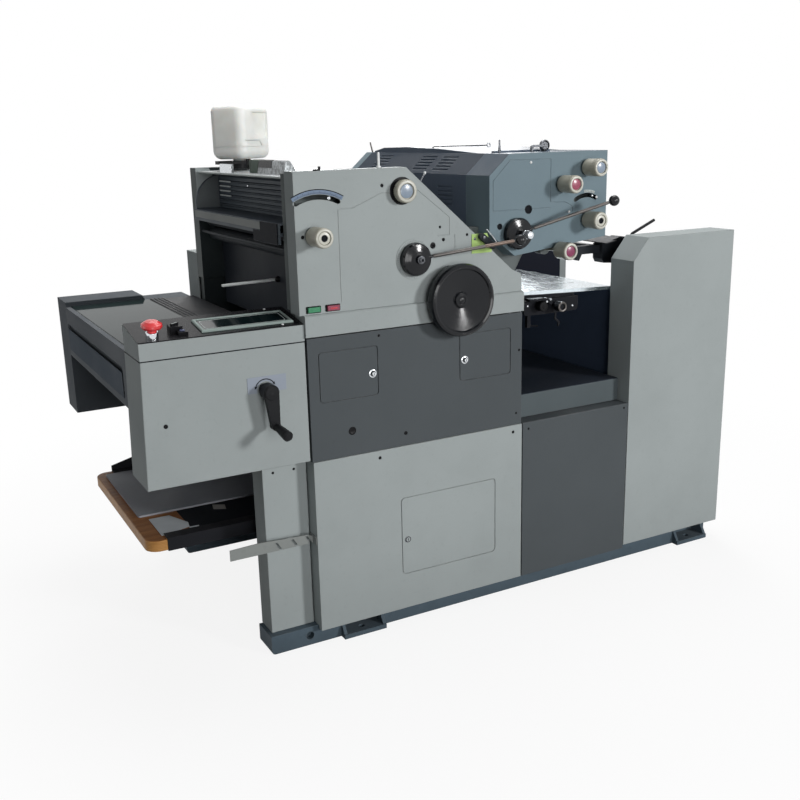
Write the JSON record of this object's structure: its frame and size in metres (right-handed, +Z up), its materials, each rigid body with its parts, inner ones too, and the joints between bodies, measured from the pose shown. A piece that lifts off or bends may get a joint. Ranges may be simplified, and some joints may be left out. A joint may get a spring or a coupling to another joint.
{
  "type": "offset printing press",
  "caption": "Sheet-fed offset printing press: printing units in line between side frames, control box and pile delivery at one end, feeder columns at the other, handwheel, levers, knobs.",
  "frame": {"origin": "centre of the four anchor holes in the base, at floor level", "axes": "+X along the press from the delivery towards the feeder, +Y from the operator's side towards the drive side, +Z up"},
  "size_m": [2.042, 1.2446, 1.551],
  "materials": {
    "pale_paint": "satin light grey enamel",
    "dark_paint": "satin dark grey enamel",
    "unit2_paint": "satin blue-grey enamel",
    "base_paint": "painted casting, blue-grey",
    "frame_paint": "painted casting, light grey",
    "black_steel": "semi-gloss black",
    "gloss_black": "polished black",
    "matt_black": "matt black",
    "rubber": "matt roller rubber",
    "steel": "polished sheet steel",
    "zinc": "dull steel plate",
    "plywood": "varnished plywood",
    "white_plastic": "translucent white",
    "cream_plastic": "cream plastic",
    "red_plastic": "glossy red",
    "green_plastic": "glossy green",
    "display_rim": "grey-green rim",
    "white_paint": "white enamel"
  },
  "bodies": {
    "press": {"base_frame": "base_paint", "near_side_frame": "frame_paint", "far_side_frame": "frame_paint", "lower_near_cover": "pale_paint", "mid_near_cover": "dark_paint", "lower_feeder_cover": "dark_paint", "feeder_bed": "dark_paint", "unit1_near_cover": "pale_paint", "unit1_ledge_strip": "pale_paint", "drive_side_cover": "pale_paint", "lower_far_cover": "dark_paint", "control_box": "pale_paint", "control_cap": "pale_paint", "console_panel": "matt_black", "display_frame": "display_rim", "delivery_far_box": "dark_paint", "delivery_end_panel": "dark_paint", "delivery_top_plate": "gloss_black", "delivery_ribbed_strip": "black_steel", "delivery_columns": "pale_paint", "notched_rail": "white_paint", "unit1_housing": "black_steel", "roller_guard": "black_steel", "unit1_rollers": "rubber", "unit1_top_deck": "zinc", "water_bottle": "white_plastic", "bottle_cap": "matt_black", "unit2_near_cover": "unit2_paint", "unit2_far_cover": "unit2_paint", "unit2_hood": "dark_paint", "unit2_lower_body": "black_steel", "feeder_columns": "pale_paint", "feeder_inner_frame": "black_steel", "feed_board": "steel", "feed_head": "black_steel", "feed_table_drive": "steel"},
    "inspection_door": {"inspection_door": "pale_paint"},
    "left_access_door": {"left_access_door": "dark_paint"},
    "right_access_door": {"right_access_door": "dark_paint"},
    "green_button": {"green_button": "green_plastic"},
    "red_button": {"red_button": "red_plastic"},
    "emergency_stop": {"emergency_stop": "red_plastic"},
    "delivery_crank": {"delivery_crank": "matt_black"},
    "pile_lift": {"pile_board": "plywood", "pile_lift": "black_steel", "pile_plate": "zinc"},
    "feeder_lever": {"feeder_lever": "matt_black"},
    "handwheel": {"handwheel": "gloss_black"},
    "pressure_lever_1": {"pressure_lever_1": "gloss_black"},
    "pressure_lever_2": {"pressure_lever_2": "gloss_black"},
    "unit1_knob_upper": {"unit1_knob_upper": "cream_plastic"},
    "unit1_knob_lower": {"unit1_knob_lower": "cream_plastic"},
    "unit2_knob_a": {"unit2_knob_a": "cream_plastic"},
    "unit2_knob_b": {"unit2_knob_b": "cream_plastic"},
    "unit2_knob_c": {"unit2_knob_c": "cream_plastic"},
    "unit2_knob_d": {"unit2_knob_d": "cream_plastic"}
  },
  "joints": [
    {"name": "inspection_door_swing", "type": "hinge", "parent": "press", "child": "inspection_door", "pos_m": [-0.1975, -0.515, 0.285], "axis": [0, 0, 1], "range_deg": [0, 110]},
    {"name": "left_access_door_swing", "type": "hinge", "parent": "press", "child": "left_access_door", "pos_m": [-0.7735, -0.515, 0.809], "axis": [0, 0, -1], "range_deg": [0, 100]},
    {"name": "right_access_door_swing", "type": "hinge", "parent": "press", "child": "right_access_door", "pos_m": [-0.1425, -0.515, 0.809], "axis": [0, 0, 1], "range_deg": [0, 110]},
    {"name": "green_button_press", "type": "slide", "parent": "press", "child": "green_button", "axis": [0, 1, 0], "range_m": [0, 0.003], "stiffness_N_per_m": 600, "springref_m": -0.001},
    {"name": "red_button_press", "type": "slide", "parent": "press", "child": "red_button", "axis": [0, 1, 0], "range_m": [0, 0.003], "stiffness_N_per_m": 600, "springref_m": -0.001},
    {"name": "emergency_stop_press", "type": "slide", "parent": "press", "child": "emergency_stop", "axis": [0, 0.1633, -0.9866], "range_m": [0, 0.005], "stiffness_N_per_m": 1500, "springref_m": -0.002},
    {"name": "delivery_crank_turn", "type": "hinge", "parent": "press", "child": "delivery_crank", "pos_m": [-0.933, -0.515, 0.801], "axis": [0, -1, 0], "continuous": true},
    {"name": "pile_lift_slide", "type": "slide", "parent": "press", "child": "pile_lift", "axis": [0, 0, 1], "range_m": [-0.2, 0.32]},
    {"name": "feeder_lever_swing", "type": "hinge", "parent": "press", "child": "feeder_lever", "pos_m": [0.418, -0.383, 1.084], "axis": [0, -1, 0], "range_deg": [-15, 30]},
    {"name": "handwheel_turn", "type": "hinge", "parent": "press", "child": "handwheel", "pos_m": [-0.339, -0.515, 0.988], "axis": [0, -1, 0], "continuous": true},
    {"name": "pressure_lever_1_swing", "type": "hinge", "parent": "press", "child": "pressure_lever_1", "pos_m": [-0.47, -0.515, 1.112], "axis": [0, -1, 0], "range_deg": [-8, 22]},
    {"name": "pressure_lever_2_swing", "type": "hinge", "parent": "press", "child": "pressure_lever_2", "pos_m": [-0.123, -0.515, 1.16], "axis": [0, -1, 0], "range_deg": [-15, 13]},
    {"name": "unit1_knob_upper_turn", "type": "hinge", "parent": "press", "child": "unit1_knob_upper", "pos_m": [-0.504, -0.515, 1.301], "axis": [0, -1, 0], "continuous": true},
    {"name": "unit1_knob_lower_turn", "type": "hinge", "parent": "press", "child": "unit1_knob_lower", "pos_m": [-0.774, -0.515, 1.196], "axis": [0, -1, 0], "continuous": true},
    {"name": "unit2_knob_a_turn", "type": "hinge", "parent": "press", "child": "unit2_knob_a", "pos_m": [0.134, -0.515, 1.341], "axis": [0, -1, 0], "continuous": true},
    {"name": "unit2_knob_b_turn", "type": "hinge", "parent": "press", "child": "unit2_knob_b", "pos_m": [0.042, -0.515, 1.296], "axis": [0, -1, 0], "continuous": true},
    {"name": "unit2_knob_c_turn", "type": "hinge", "parent": "press", "child": "unit2_knob_c", "pos_m": [0.138, -0.515, 1.185], "axis": [0, -1, 0], "continuous": true},
    {"name": "unit2_knob_d_turn", "type": "hinge", "parent": "press", "child": "unit2_knob_d", "pos_m": [0.027, -0.515, 1.101], "axis": [0, -1, 0], "continuous": true}
  ]
}
